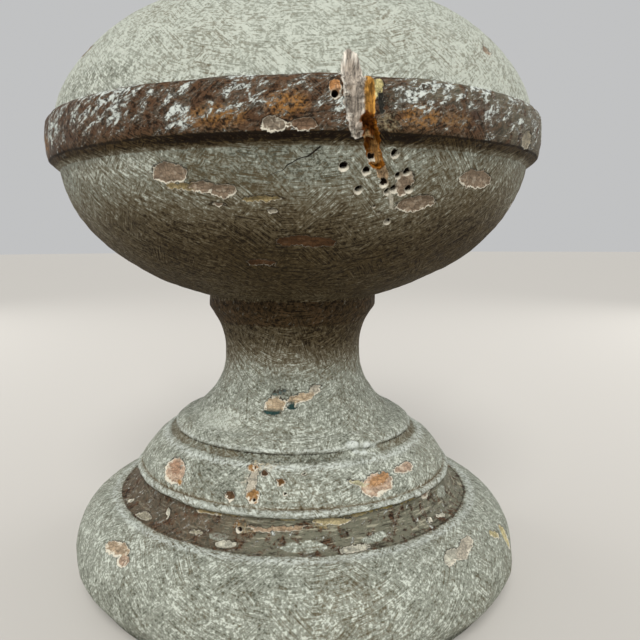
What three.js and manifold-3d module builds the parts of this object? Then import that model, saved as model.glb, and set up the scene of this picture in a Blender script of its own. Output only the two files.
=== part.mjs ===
// A turned wooden spire in worn paint: a stepped round foot, a waisted neck, a flattened ball
// with a raised band, and a tapering spire with a bud at its tip. It is one piece of wood.
// Insects have eaten it: a gallery runs over the band and down the ball, with flight holes around it.
// Millimetres, +Z up. The turning axis is Z and the underside lies at Z = 0.

import * as THREE from 'three';
import { mergeVertices } from 'three/addons/utils/BufferGeometryUtils.js';
import Module from 'manifold-3d';

// Driving dimensions of the turning: radii from the axis, heights above the underside
const FOOT_UNDERSIDE_RADIUS = 97;
const FOOT_WIDEST_RADIUS = 104.8;
const FOOT_WIDEST_Z = 14.2;
const FOOT_TOP_RADIUS = 83.5;
const FOOT_TOP_Z = 39;
const COVE_TOP_RADIUS = 73.5;
const COVE_TOP_Z = 49.6;
const COVE_HOLLOW = 2.6;
const BEAD_TOP_RADIUS = 74.1;
const BEAD_TOP_Z = 53.2;
const BEAD_RISE = 1.5;
const SHOULDER_BOTTOM_RADIUS = 73.4;
const SHOULDER_BOTTOM_Z = 53.5;
const SHOULDER_TOP_RADIUS = 59.8;
const SHOULDER_TOP_Z = 67;
const SHOULDER_RISE = 1.9;
const QUIRK_RADIUS = 56.3;
const QUIRK_Z = 69.4;
const QUIRK_HOLLOW = 0.5;
const LIP_RADIUS = 57.2;
const LIP_Z = 70.3;
const LIP_RISE = 1.1;
const BELL_RADIUS = 49.2;
const BELL_Z = 74.7;
const BELL_POWER = 2.5;
const NECK_RADIUS = 32.4;
const NECK_Z = 106;
const COLLAR_SWEEP_RADIUS = 39.2;
const COLLAR_SWEEP_Z = 125.3;
const COLLAR_SWEEP_POWER = 2.05;
const COLLAR_RADIUS = 39.7;
const COLLAR_Z = 126.4;
const BOWL_RADIUS = 104.2;
const BOWL_DEPTH = 65.4;
const BOWL_EQUATOR_Z = 192;
const BAND_UNDERSIDE_RADIUS = 103.8;
const BAND_UNDERSIDE_Z = 186.5;
const BAND_BOTTOM_RADIUS = 108.3;
const BAND_BOTTOM_Z = 190.2;
const BAND_TOP_RADIUS = 109.2;
const BAND_TOP_Z = 204.7;
const BAND_FACE_RISE = 0.7;
const BAND_SHOULDER_RADIUS = 105.4;
const BAND_SHOULDER_Z = 207.3;
const BAND_SHOULDER_RISE = 0.7;
const DOME_RADIUS = 106.1;
const DOME_RISE = 66;
const DOME_EQUATOR_Z = 200;

// The spire above the ball
const UPPER_COLLAR_RADIUS = 38;
const UPPER_COLLAR_TOP_Z = 268;
const STEM_BOTTOM_RADIUS = 36;
const STEM_RADIUS = 25;
const STEM_TOP_Z = 290;
const STEM_POWER = 2.2;
const RING_SEAT_RADIUS = 27;
const RING_RISE = 4;
const RING_TOP_Z = 300;
const SPIRE_BOTTOM_RADIUS = 24.5;
const SPIRE_TOP_RADIUS = 7.5;
const SPIRE_TOP_Z = 532;
const SPIRE_HOLLOW = 2.2;
const TIP_RING_RADIUS = 8.5;
const TIP_RING_RISE = 3;
const TIP_RING_TOP_Z = 539;
const BUD_RADIUS = 13;
const BUD_HALF_HEIGHT = 15;
const BUD_Z = 557;
const BUD_TOP_ANGLE = Math.PI / 4;
const TIP_HOLLOW = 1;
const TIP_Z = 588;

// Insect damage: places are (degrees to the right of the front, height)
const FLIGHT_HOLE_RADIUS = 1.25;
const FLIGHT_HOLE_DEPTH = 7;
const FLIGHT_HOLES = [
  [9.3, 180], [13.7, 178.7], [18.8, 184.3], [12.6, 172.9], [17.5, 174.9], [20.2, 177.5],
  [21.9, 178.8], [19.9, 173.3], [23.2, 173.2], [20.5, 162.9], [7, 201],
];
// Grooves list (degrees, height, half width) from the top down
const BROKEN_TROUGH = [
  [10, 214, 2.4], [10.3, 205, 4.2], [10.4, 197, 3.4], [10.8, 191.8, 2.6], [11.1, 189, 1.6],
];
const BROKEN_TROUGH_DEPTH = 3;
const GALLERY = [[12.9, 204, 1.4], [12.8, 194, 2.4], [14, 187, 2.6], [16.4, 179.7, 1.8], [18, 174.5, 0.8]];
const GALLERY_DEPTH = 4;

// Facets round the axis, along each stretch of the profile, and of the damage
const BODY_SIDES = 44;
const FOOT_UNDER_STEPS = 3;
const FOOT_STEPS = 6;
const COVE_STEPS = 4;
const BEAD_STEPS = 3;
const SHOULDER_STEPS = 4;
const QUIRK_STEPS = 2;
const LIP_STEPS = 3;
const BELL_STEPS = 7;
const COLLAR_SWEEP_STEPS = 5;
const BOWL_STEPS = 11;
const BAND_FACE_STEPS = 3;
const BAND_SHOULDER_STEPS = 2;
const DOME_STEPS = 9;
const STEM_STEPS = 5;
const RING_STEPS = 4;
const SPIRE_STEPS = 4;
const BUD_STEPS = 6;
const TIP_STEPS = 2;
const GROOVE_SIDES = 8;
const GROOVE_STEPS = 7;
const HOLE_SIDES = 6;
const MERGE_DISTANCE = 1e-3;

const PAINT_COLOUR = 0x80857a;
const PAINT_ROUGHNESS = 0.85;

const point = (radius, z) => new THREE.Vector2(radius, z);

// Part of an ellipse about a centre on the profile, between two angles in radians
function ellipseRun(centre, halfWidth, halfHeight, start, end, steps) {
  return Array.from({ length: steps + 1 }, (_, i) => {
    const angle = start + ((end - start) * i) / steps;
    return point(centre.x + halfWidth * Math.cos(angle), centre.y + halfHeight * Math.sin(angle));
  });
}

// A shallow arc whose middle stands off its chord, outwards where the rise is positive
function arcRun(from, to, rise, steps) {
  const along = to.clone().sub(from);
  const outward = point(along.y, -along.x).normalize();
  return Array.from({ length: steps + 1 }, (_, i) => {
    const share = i / steps;
    const stand = rise * 4 * share * (1 - share);
    return from.clone().addScaledVector(along, share).addScaledVector(outward, stand);
  });
}

// A hollow sweep whose radius grows from its narrow end by a power of the height
function sweepRun(from, to, power, steps) {
  const narrow = Math.min(from.x, to.x);
  const widening = Math.abs(to.x - from.x);
  return Array.from({ length: steps + 1 }, (_, i) => {
    const share = i / steps;
    const away = from.x < to.x ? share : 1 - share;
    return point(narrow + widening * away ** power, from.y + (to.y - from.y) * share);
  });
}

// The foot: a rounded ring on a flat underside, a hollow cove and a bead
function footProfile() {
  const centre = point(FOOT_TOP_RADIUS, FOOT_WIDEST_Z);
  const halfWidth = FOOT_WIDEST_RADIUS - FOOT_TOP_RADIUS;
  const underside = Math.acos((FOOT_UNDERSIDE_RADIUS - FOOT_TOP_RADIUS) / halfWidth);
  const coveTop = point(COVE_TOP_RADIUS, COVE_TOP_Z);
  return [
    point(0, 0),
    point(FOOT_UNDERSIDE_RADIUS, 0),
    ...ellipseRun(centre, halfWidth, FOOT_WIDEST_Z, -underside, 0, FOOT_UNDER_STEPS).slice(1),
    ...ellipseRun(centre, halfWidth, FOOT_TOP_Z - FOOT_WIDEST_Z, 0, Math.PI / 2, FOOT_STEPS).slice(1),
    ...arcRun(point(FOOT_TOP_RADIUS, FOOT_TOP_Z), coveTop, -COVE_HOLLOW, COVE_STEPS).slice(1),
    ...arcRun(coveTop, point(BEAD_TOP_RADIUS, BEAD_TOP_Z), BEAD_RISE, BEAD_STEPS).slice(1),
  ];
}

// The stem of the foot: a round shoulder, a hollow quirk, and a bell that sweeps up into the neck
function neckProfile() {
  const shoulderBottom = point(SHOULDER_BOTTOM_RADIUS, SHOULDER_BOTTOM_Z);
  const shoulderTop = point(SHOULDER_TOP_RADIUS, SHOULDER_TOP_Z);
  const quirk = point(QUIRK_RADIUS, QUIRK_Z);
  const bell = point(BELL_RADIUS, BELL_Z);
  const neck = point(NECK_RADIUS, NECK_Z);
  const collar = point(COLLAR_SWEEP_RADIUS, COLLAR_SWEEP_Z);
  return [
    ...arcRun(shoulderBottom, shoulderTop, SHOULDER_RISE, SHOULDER_STEPS),
    ...arcRun(shoulderTop, quirk, -QUIRK_HOLLOW, QUIRK_STEPS).slice(1),
    ...arcRun(point(LIP_RADIUS, LIP_Z), bell, LIP_RISE, LIP_STEPS),
    ...sweepRun(bell, neck, BELL_POWER, BELL_STEPS).slice(1),
    ...sweepRun(neck, collar, COLLAR_SWEEP_POWER, COLLAR_SWEEP_STEPS).slice(1),
    point(COLLAR_RADIUS, COLLAR_Z),
  ];
}

// The ball: a bowl below, a raised band with a bevelled underside, and a dome above
function ballProfile() {
  const bowlStart = -Math.acos(COLLAR_RADIUS / BOWL_RADIUS);
  const bowlEnd = Math.asin((BAND_UNDERSIDE_Z - BOWL_EQUATOR_Z) / BOWL_DEPTH);
  const domeStart = Math.asin((BAND_SHOULDER_Z - DOME_EQUATOR_Z) / DOME_RISE);
  const domeEnd = Math.acos(UPPER_COLLAR_RADIUS / DOME_RADIUS);
  const bandBottom = point(BAND_BOTTOM_RADIUS, BAND_BOTTOM_Z);
  const bandTop = point(BAND_TOP_RADIUS, BAND_TOP_Z);
  const bandShoulder = point(BAND_SHOULDER_RADIUS, BAND_SHOULDER_Z);
  const bowlCentre = point(0, BOWL_EQUATOR_Z);
  const domeCentre = point(0, DOME_EQUATOR_Z);
  return [
    ...ellipseRun(bowlCentre, BOWL_RADIUS, BOWL_DEPTH, bowlStart, bowlEnd, BOWL_STEPS).slice(0, -1),
    point(BAND_UNDERSIDE_RADIUS, BAND_UNDERSIDE_Z),
    ...arcRun(bandBottom, bandTop, BAND_FACE_RISE, BAND_FACE_STEPS),
    ...arcRun(bandTop, bandShoulder, BAND_SHOULDER_RISE, BAND_SHOULDER_STEPS).slice(1),
    ...ellipseRun(domeCentre, DOME_RADIUS, DOME_RISE, domeStart, domeEnd, DOME_STEPS).slice(1),
  ];
}

// The spire: a collar, a hollow stem, a half-round ring, a long taper and a bud on a small ring
function spireProfile() {
  const stemBottom = point(STEM_BOTTOM_RADIUS, UPPER_COLLAR_TOP_Z);
  const stemTop = point(STEM_RADIUS, STEM_TOP_Z);
  const ringBottom = point(RING_SEAT_RADIUS, STEM_TOP_Z);
  const ringTop = point(RING_SEAT_RADIUS, RING_TOP_Z);
  const taperTop = point(SPIRE_TOP_RADIUS, SPIRE_TOP_Z);
  const tipRingTop = point(TIP_RING_RADIUS, TIP_RING_TOP_Z);
  const budBottom = -Math.acos(SPIRE_TOP_RADIUS / BUD_RADIUS);
  const budCentre = point(0, BUD_Z);
  const bud = ellipseRun(budCentre, BUD_RADIUS, BUD_HALF_HEIGHT, budBottom, BUD_TOP_ANGLE, BUD_STEPS);
  return [
    point(UPPER_COLLAR_RADIUS, UPPER_COLLAR_TOP_Z),
    ...sweepRun(stemBottom, stemTop, STEM_POWER, STEM_STEPS),
    ...arcRun(ringBottom, ringTop, RING_RISE, RING_STEPS),
    ...arcRun(point(SPIRE_BOTTOM_RADIUS, RING_TOP_Z), taperTop, -SPIRE_HOLLOW, SPIRE_STEPS),
    ...arcRun(point(TIP_RING_RADIUS, SPIRE_TOP_Z), tipRingTop, TIP_RING_RISE, RING_STEPS),
    ...bud,
    ...arcRun(bud.at(-1), point(0, TIP_Z), -TIP_HOLLOW, TIP_STEPS).slice(1),
  ];
}

const profile = [...footProfile(), ...neckProfile(), ...ballProfile(), ...spireProfile()];

// Radius of the turned surface at a height, read off the profile
function surfaceRadius(z) {
  const i = profile.findIndex((p, k) => k > 1 && p.y >= z);
  const [low, high] = [profile[i - 1], profile[i]];
  return THREE.MathUtils.mapLinear(z, low.y, high.y, low.x, high.x);
}

// The turned body, with the profile's axis stood up along Z and its start at the front
function turnedBody() {
  return new THREE.LatheGeometry(profile, BODY_SIDES).rotateX(Math.PI / 2);
}

// A flight hole: a short rod along the radius, half of it in the wood
function flightHole([degrees, z]) {
  const angle = THREE.MathUtils.degToRad(degrees);
  const length = FLIGHT_HOLE_DEPTH * 2;
  const rod = new THREE.CylinderGeometry(FLIGHT_HOLE_RADIUS, FLIGHT_HOLE_RADIUS, length, HOLE_SIDES);
  return rod.translate(0, surfaceRadius(z), 0).rotateZ(angle + Math.PI).translate(0, 0, z);
}

// A groove eaten along the surface: a rod bent along a curve of places and half widths
function groove(stations, depth) {
  const curve = new THREE.CatmullRomCurve3(stations.map((station) => new THREE.Vector3(...station)));
  const rod = new THREE.CylinderGeometry(1, 1, 1, GROOVE_SIDES, GROOVE_STEPS);
  const position = rod.attributes.position;
  for (let i = 0; i < position.count; i += 1) {
    const { x: degrees, y: z, z: halfWidth } = curve.getPoint(0.5 - position.getY(i));
    const angle = THREE.MathUtils.degToRad(degrees);
    const across = position.getX(i) * halfWidth;
    const out = surfaceRadius(z) + position.getZ(i) * depth;
    position.setXYZ(
      i,
      out * Math.sin(angle) + across * Math.cos(angle),
      across * Math.sin(angle) - out * Math.cos(angle),
      z,
    );
  }
  return rod;
}

const wasm = await Module();
wasm.setup();

// A closed solid from a three.js geometry: shared corners merged, empty triangles dropped
function solidOf(geometry) {
  const bare = geometry.clone();
  bare.deleteAttribute('normal');
  bare.deleteAttribute('uv');
  const merged = mergeVertices(bare, MERGE_DISTANCE);
  const corners = merged.index.array;
  const triangles = [];
  for (let i = 0; i < corners.length; i += 3) {
    const [a, b, c] = corners.slice(i, i + 3);
    if (a !== b && b !== c && c !== a) triangles.push(a, b, c);
  }
  return new wasm.Manifold(new wasm.Mesh({
    numProp: 3,
    vertProperties: new Float32Array(merged.attributes.position.array),
    triVerts: new Uint32Array(triangles),
  }));
}

// A three.js geometry from a closed solid
function geometryOf(solid) {
  const mesh = solid.getMesh();
  const geometry = new THREE.BufferGeometry();
  geometry.setAttribute('position', new THREE.BufferAttribute(mesh.vertProperties, 3));
  geometry.setIndex(new THREE.BufferAttribute(mesh.triVerts, 1));
  geometry.computeVertexNormals();
  return geometry;
}

const eaten = [
  groove(BROKEN_TROUGH, BROKEN_TROUGH_DEPTH),
  groove(GALLERY, GALLERY_DEPTH),
  ...FLIGHT_HOLES.map(flightHole),
];
const spireSolid = eaten.reduce((wood, cut) => wood.subtract(solidOf(cut)), solidOf(turnedBody()));

const wornPaint = new THREE.MeshStandardMaterial({
  color: PAINT_COLOUR,
  roughness: PAINT_ROUGHNESS,
  metalness: 0,
});
const turnedSpire = new THREE.Mesh(geometryOf(spireSolid), wornPaint);
turnedSpire.name = 'turned_spire';

const spire = new THREE.Group();
spire.add(turnedSpire);

export default spire;
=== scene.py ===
import math

import bpy
import numpy as np
from mathutils import Matrix, Vector


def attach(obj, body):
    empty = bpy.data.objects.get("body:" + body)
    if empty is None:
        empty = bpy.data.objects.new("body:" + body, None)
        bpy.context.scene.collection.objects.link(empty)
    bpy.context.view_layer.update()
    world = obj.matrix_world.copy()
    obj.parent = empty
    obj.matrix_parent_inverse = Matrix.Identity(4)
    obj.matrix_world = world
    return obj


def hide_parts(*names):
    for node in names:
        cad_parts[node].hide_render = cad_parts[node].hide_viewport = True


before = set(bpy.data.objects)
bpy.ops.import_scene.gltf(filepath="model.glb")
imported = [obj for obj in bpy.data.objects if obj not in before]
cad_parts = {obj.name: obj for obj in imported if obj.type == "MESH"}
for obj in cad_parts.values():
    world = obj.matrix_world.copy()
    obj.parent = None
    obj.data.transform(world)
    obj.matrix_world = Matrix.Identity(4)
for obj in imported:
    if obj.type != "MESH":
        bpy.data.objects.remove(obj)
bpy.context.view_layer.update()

# The turned body: one length of wood, turned between centres into a stepped foot, a waisted neck,
# a flattened ball with a raised band and a slim spire. It stands by its own weight on the flat foot.
# Lengths are millimetres and (radius, height) pairs until the mesh is made. The front faces -Y.
MM = 0.001

FOOT_UNDERSIDE = (97.0, 0.0)
FOOT_CENTRE = (83.5, 14.2)
FOOT_HALF_WIDTH = 21.3
FOOT_TOP = (83.5, 39.0)
COVE_TOP = (73.5, 49.6)
COVE_HOLLOW = 2.6
BEAD_TOP = (74.1, 53.2)
BEAD_RISE = 1.5
SHOULDER_BOTTOM = (73.4, 53.5)
SHOULDER_TOP = (59.8, 67.0)
SHOULDER_RISE = 1.9
QUIRK = (56.3, 69.4)
QUIRK_HOLLOW = 0.5
LIP = (57.2, 70.3)
LIP_RISE = 1.1
BELL = (49.2, 74.7)
BELL_POWER = 2.5
NECK = (32.4, 106.0)
COLLAR_SWEEP = (39.2, 125.3)
COLLAR_SWEEP_POWER = 2.05
COLLAR = (39.7, 126.4)
BOWL_RADIUS = 104.2
BOWL_DEPTH = 65.4
BOWL_EQUATOR = 192.0
BOWL_FINE_FROM = 160.0
BAND_UNDERSIDE = (103.8, 186.5)
BAND_UNDERSIDE_RISE = 0.2
BAND_BOTTOM = (108.3, 190.2)
BAND_TOP = (109.2, 204.7)
BAND_FACE_RISE = 0.7
BAND_SHOULDER = (105.4, 207.3)
BAND_SHOULDER_RISE = 0.7
DOME_RADIUS = 106.1
DOME_RISE = 66.0
DOME_EQUATOR = 200.0
UPPER_COLLAR = (38.0, 268.0)
STEM_BOTTOM = (36.0, 268.0)
STEM_TOP = (25.0, 290.0)
STEM_POWER = 2.2
RING_BOTTOM = (27.0, 290.0)
RING_TOP = (27.0, 300.0)
RING_RISE = 4.0
SPIRE_BOTTOM = (24.5, 300.0)
SPIRE_TOP = (7.5, 532.0)
SPIRE_HOLLOW = 2.2
TIP_RING_BOTTOM = (8.5, 532.0)
TIP_RING_TOP = (8.5, 539.0)
TIP_RING_RISE = 3.0
BUD_CENTRE = (0.0, 557.0)
BUD_RADIUS = 13.0
BUD_HALF_HEIGHT = 15.0
TIP_HOLLOW = 1.0
TIP = (0.0, 588.0)

# How far apart the rows lie: close where the insects and the flaking paint are, wide on the spire.
# Points of the profile that are nearer than SAME_PLACE count as one.
FINE_ROW = 0.55
MOULDING_ROW = 0.85
PLAIN_ROW = 1.9
DOME_ROW = 3.8
SPIRE_ROW = 13.0
SMALL_RING_ROW = 2.2
UNDERSIDE_ROW = 26.0
SAME_PLACE = 0.05
# Columns go (from, to, step) in degrees round the axis, with 0 at the front and more to the right
COLUMN_SPANS = ((-180, -80, 4.4), (-80, 4.5, 0.9), (4.5, 25, 0.3), (25, 80, 0.9), (80, 180, 4.4))
# A gap that counts as nowhere near, and a length that keeps a division from failing
FAR = 50.0
TINY = 1e-6


def ellipse_run(centre, half_width, half_height, start, end, spacing):
    """Centre plus (half_width cos t, half_height sin t), for t from start to end in radians."""
    reach = max(half_width, half_height) * abs(end - start)
    t = np.linspace(start, end, max(3, math.ceil(reach / spacing)) + 1)
    return np.stack([centre[0] + half_width * np.cos(t), centre[1] + half_height * np.sin(t)], 1)


def arc_run(start, end, rise, spacing):
    """The chord from start to end, bowed out along its normal by rise times 4 t (1 - t)."""
    chord = np.subtract(end, start)
    length = np.hypot(*chord)
    t = np.linspace(0, 1, max(1, math.ceil(length / spacing)) + 1)[:, None]
    outward = np.array([chord[1], -chord[0]]) / length
    return np.array(start) + chord * t + outward * rise * 4 * t * (1 - t)


def sweep_run(start, end, power, spacing):
    """Heights even from start to end, with the radius growing from the narrow end as a power of t."""
    reach = math.dist(start, end)
    t = np.linspace(0, 1, max(2, math.ceil(reach / spacing)) + 1)
    narrowing = start[0] > end[0]
    share = 1 - (1 - t) ** power if narrowing else t ** power
    return np.stack([start[0] + (end[0] - start[0]) * share, start[1] + (end[1] - start[1]) * t], 1)


bowl_centre = (0.0, BOWL_EQUATOR)
bowl_start = -math.acos(COLLAR[0] / BOWL_RADIUS)
bowl_fine = -math.asin((BOWL_EQUATOR - BOWL_FINE_FROM) / BOWL_DEPTH)
bowl_end = -math.asin((BOWL_EQUATOR - BAND_UNDERSIDE[1]) / BOWL_DEPTH)
bowl_foot = (COLLAR[0], BOWL_EQUATOR + BOWL_DEPTH * math.sin(bowl_start))
dome_start = math.asin((BAND_SHOULDER[1] - DOME_EQUATOR) / DOME_RISE)
dome_end = math.acos(UPPER_COLLAR[0] / DOME_RADIUS)
dome_top = (UPPER_COLLAR[0], DOME_EQUATOR + DOME_RISE * math.sin(dome_end))
foot_under = -math.acos((FOOT_UNDERSIDE[0] - FOOT_CENTRE[0]) / FOOT_HALF_WIDTH)
bud_start = -math.acos(SPIRE_TOP[0] / BUD_RADIUS)
bud_end = math.pi / 4
bud_top = (BUD_RADIUS * math.cos(bud_end), BUD_CENTRE[1] + BUD_HALF_HEIGHT * math.sin(bud_end))

profile = np.concatenate([
    arc_run((0.0, 0.0), FOOT_UNDERSIDE, 0.0, UNDERSIDE_ROW),
    ellipse_run(FOOT_CENTRE, FOOT_HALF_WIDTH, FOOT_CENTRE[1], foot_under, 0, PLAIN_ROW),
    ellipse_run(FOOT_CENTRE, FOOT_HALF_WIDTH, FOOT_TOP[1] - FOOT_CENTRE[1], 0, math.pi / 2, PLAIN_ROW),
    arc_run(FOOT_TOP, COVE_TOP, -COVE_HOLLOW, MOULDING_ROW),
    arc_run(COVE_TOP, BEAD_TOP, BEAD_RISE, FINE_ROW),
    arc_run(SHOULDER_BOTTOM, SHOULDER_TOP, SHOULDER_RISE, MOULDING_ROW),
    arc_run(SHOULDER_TOP, QUIRK, -QUIRK_HOLLOW, FINE_ROW),
    arc_run(LIP, BELL, LIP_RISE, MOULDING_ROW),
    sweep_run(BELL, NECK, BELL_POWER, PLAIN_ROW),
    sweep_run(NECK, COLLAR_SWEEP, COLLAR_SWEEP_POWER, PLAIN_ROW),
    arc_run(COLLAR, bowl_foot, 0.0, PLAIN_ROW),
    ellipse_run(bowl_centre, BOWL_RADIUS, BOWL_DEPTH, bowl_start, bowl_fine, PLAIN_ROW),
    ellipse_run(bowl_centre, BOWL_RADIUS, BOWL_DEPTH, bowl_fine, bowl_end, MOULDING_ROW),
    arc_run(BAND_UNDERSIDE, BAND_BOTTOM, BAND_UNDERSIDE_RISE, FINE_ROW),
    arc_run(BAND_BOTTOM, BAND_TOP, BAND_FACE_RISE, FINE_ROW),
    arc_run(BAND_TOP, BAND_SHOULDER, BAND_SHOULDER_RISE, FINE_ROW),
    ellipse_run((0.0, DOME_EQUATOR), DOME_RADIUS, DOME_RISE, dome_start, dome_end, DOME_ROW),
    arc_run(dome_top, UPPER_COLLAR, 0.0, DOME_ROW),
    sweep_run(STEM_BOTTOM, STEM_TOP, STEM_POWER, DOME_ROW),
    arc_run(RING_BOTTOM, RING_TOP, RING_RISE, SMALL_RING_ROW),
    arc_run(SPIRE_BOTTOM, SPIRE_TOP, -SPIRE_HOLLOW, SPIRE_ROW),
    arc_run(TIP_RING_BOTTOM, TIP_RING_TOP, TIP_RING_RISE, SMALL_RING_ROW),
    ellipse_run(BUD_CENTRE, BUD_RADIUS, BUD_HALF_HEIGHT, bud_start, bud_end, SMALL_RING_ROW),
    arc_run(bud_top, TIP, -TIP_HOLLOW, SMALL_RING_ROW),
])
apart = np.hypot(*np.diff(profile, axis=0).T)
profile = profile[np.concatenate([[True], apart > SAME_PLACE])]

row_along = np.concatenate([[0.0], np.cumsum(np.hypot(*np.diff(profile, axis=0).T))])
row_slope = np.gradient(profile, row_along, axis=0)
row_slope /= np.hypot(*row_slope.T)[:, None]
row_slope[0] = (1.0, 0.0)
row_slope[-1] = (-1.0, 0.0)

columns = np.concatenate([
    np.linspace(start, end, round((end - start) / step), endpoint=False)
    for start, end, step in COLUMN_SPANS
])


def spread(rows):
    """One value a row, repeated round the turning, then the two points on the axis at foot and tip."""
    return np.concatenate([np.repeat(rows[1:-1], len(columns)), rows[[0, -1]]])


turn = np.concatenate([np.tile(columns, len(profile) - 2), [0.0, 0.0]])
radius = spread(profile[:, 0])
height = spread(profile[:, 1])
along = spread(row_along)
normal_out = spread(row_slope[:, 1])
normal_up = spread(-row_slope[:, 0])
angle = np.radians(turn)
skin = np.stack([radius * np.sin(angle), -radius * np.cos(angle), height], 1)
outward = np.stack([normal_out * np.sin(angle), -normal_out * np.cos(angle), normal_up], 1)
far_off = np.full(turn.shape, FAR)
none_yet = np.zeros(turn.shape)


def ripple(wavelength, seed, squeeze=1.0, waves=24):
    """Seeded roughness: the sum of plane waves of random heading and phase, scaled to unit spread.

    A squeeze below one shortens heights first, so the waves grow that much longer upwards."""
    draw = np.random.default_rng(seed)
    headings = draw.normal(size=(waves, 3))
    headings /= np.linalg.norm(headings, axis=1)[:, None]
    lengths = wavelength * draw.uniform(0.7, 1.5, waves)
    phases = draw.uniform(0, math.tau, waves)
    cycles = (skin * (1, 1, squeeze)) @ (headings / lengths[:, None]).T
    return np.sin(math.tau * cycles + phases).sum(axis=1) * math.sqrt(2 / waves)


def ease(start, end, values):
    """Zero at start, one at end, and 3 t t - 2 t t t between them."""
    t = np.clip((values - start) / (end - start), 0, 1)
    return t * t * (3 - 2 * t)


def along_at(height_at):
    """The length along the profile from the axis underneath up to a height."""
    return np.interp(height_at, profile[:, 1], row_along)


def offsets(turn_at, height_at):
    """How far round and how far up along the skin each vertex lies from a place, in millimetres."""
    across = radius * np.radians((turn - turn_at + 180) % 360 - 180)
    return across, along - along_at(height_at)


def linear(hex_colour):
    """An sRGB hex colour as linear red, green, blue and alpha."""
    shares = [int(hex_colour[i:i + 2], 16) / 255 for i in (1, 3, 5)]
    return [s / 12.92 if s <= 0.04045 else ((s + 0.055) / 1.055) ** 2.4 for s in shares] + [1.0]


# Insect damage: larvae ate a gallery under the paint of the band and ball, and its roof has broken
# away. Beetles left round flight holes about it. The eaten wood is bare, pale, orange or dark brown.
# Grooves go (degrees, height, half width) from the top down, and holes (degrees, height, radius).
BROKEN_TROUGH = (
    (10, 214, 2.4), (10.3, 205, 4.4), (10.4, 197, 3.6), (10.8, 191.8, 2.8), (11.1, 189, 1.8),
)
ORANGE_CHANNEL = ((12.9, 206.5, 1.0), (12.9, 203, 1.4), (12.8, 193, 1.5))
GALLERY = ((12.7, 193.5, 2.2), (13.6, 188.6, 2.6), (14.9, 183.6, 2.5), (15.8, 181, 2.0))
GALLERY_MOUTH = ((12.4, 194.0, 1.8), (12.8, 190.8, 1.9), (13.5, 187.6, 1.4))
GALLERY_FLOOR = ((14.9, 186.0, 1.0), (15.6, 182.0, 1.2))
GALLERY_LEDGE = ((12.3, 188.4, 0.25), (14.3, 188.2, 0.25))
TAN_END = ((15.4, 182, 2.0), (16.8, 178, 2.1), (17.7, 175.5, 1.4))
SCRATCH_END = ((19.2, 171.8, 0.8), (20.9, 166.8, 0.6))
# A hole sinks by its depth times its radius, between two shares of that radius, and its pale lip of
# ground coat, painted broadest on the lower wall as highlight, lies below it and a little to the left
FLIGHT_HOLE_DEPTH = 2.2
HOLE_WALL = (0.95, 0.35)
LIP_TO_LEFT = 0.4
FLIGHT_HOLES = (
    (9.3, 180, 1.6), (13.7, 178.7, 1.6), (18.8, 184.3, 1.6), (12.6, 172.9, 1.5), (17.5, 174.9, 1.6),
    (20.2, 177.5, 1.4), (21.9, 178.8, 1.6), (19.9, 173.3, 1.5), (23.2, 173.2, 1.5), (20.5, 162.9, 1.3),
    (7, 200.8, 1.6), (18.6, 172.3, 1.3), (16.5, 167.6, 0.7), (17.9, 165.4, 0.7), (14.5, 182.8, 1.5),
    (-2.4, 58.7, 1.0), (4, 64.8, 1.0), (-16.3, 44.6, 1.3), (-14.6, 66, 0.8), (-12.4, 56, 1.0),
)


def trail(stations):
    """Distance to each straight piece of a groove, less its half width there: the least of them."""
    edge = far_off
    for (turn_a, height_a, half_a), (turn_b, height_b, half_b) in zip(stations, stations[1:]):
        across_a, up_a = offsets(turn_a, height_a)
        across_b, up_b = offsets(turn_b, height_b)
        run, climb = across_a - across_b, up_a - up_b
        share = np.clip((across_a * run + up_a * climb) / (run ** 2 + climb ** 2), 0, 1)
        gap = np.hypot(across_a - share * run, up_a - share * climb)
        edge = np.minimum(edge, gap - half_a - share * (half_b - half_a))
    return edge


# Broken edges waver in short and longer waves
SHORT_WAVER = 0.28
SHORT_WAVER_LENGTH = 1.9
LONG_WAVER = 0.18
LONG_WAVER_LENGTH = 4.5
ragged = SHORT_WAVER * ripple(SHORT_WAVER_LENGTH, seed=11)
ragged += LONG_WAVER * ripple(LONG_WAVER_LENGTH, seed=12)
hole_level = far_off
hole_below = none_yet
hole_relief = none_yet
for turn_at, height_at, hole_radius in FLIGHT_HOLES:
    across, up = offsets(turn_at, height_at)
    level = np.hypot(across, up) / hole_radius
    below = (-LIP_TO_LEFT * across - up) / hole_radius
    hole_below = np.where(level < hole_level, below, hole_below)
    hole_level = np.minimum(hole_level, level)
    hole_relief = np.maximum(hole_relief, FLIGHT_HOLE_DEPTH * hole_radius * ease(*HOLE_WALL, level))

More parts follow.
